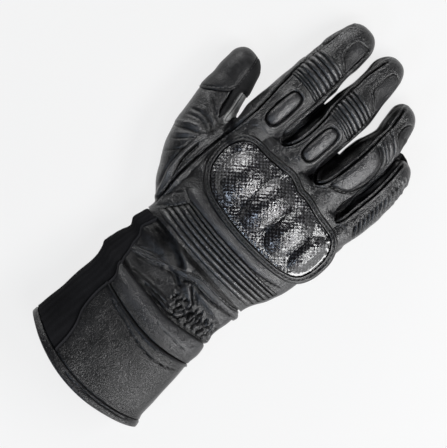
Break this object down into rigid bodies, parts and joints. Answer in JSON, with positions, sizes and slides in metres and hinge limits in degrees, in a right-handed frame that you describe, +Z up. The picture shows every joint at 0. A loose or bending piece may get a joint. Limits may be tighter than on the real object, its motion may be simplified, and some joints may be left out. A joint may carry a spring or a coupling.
{
  "type": "motorcycle glove",
  "caption": "Long-cuff leather motorcycle glove for the right hand, with a domed knuckle guard, ribbed stretch panels and a flared cuff.",
  "frame": {"origin": "middle of the lying glove's box, on the surface that it rests on", "axes": "+Y towards the fingertips, +X towards the little finger, +Z up out of the back of the hand"},
  "size_m": [0.154, 0.314, 0.066],
  "materials": {
    "shell_leather": "satin",
    "soft_leather": "satin",
    "padded_leather": "satin",
    "guard_shell": "gloss",
    "thread": "matte"
  },
  "bodies": {
    "root": {"hand_back": "shell_leather", "palm": "shell_leather", "index_finger": "shell_leather", "middle_finger": "shell_leather", "ring_finger": "shell_leather", "little_finger": "shell_leather", "thumb": "shell_leather", "thumb_cap": "soft_leather", "index_tip_patch": "soft_leather", "middle_tip_patch": "soft_leather", "ring_tip_patch": "soft_leather", "index_pad": "padded_leather", "middle_pad": "padded_leather", "ring_pad": "padded_leather", "index_accordion": "soft_leather", "middle_accordion": "soft_leather", "ring_accordion": "soft_leather", "back_accordion": "soft_leather", "knuckle_guard": "guard_shell", "knuckle_surround": "padded_leather", "wrist_strap": "padded_leather", "wrist_gather": "soft_leather", "gauntlet_yoke": "padded_leather", "gauntlet": "shell_leather", "closure_flap": "shell_leather", "cuff_binding": "padded_leather"}
  },
  "joints": []
}
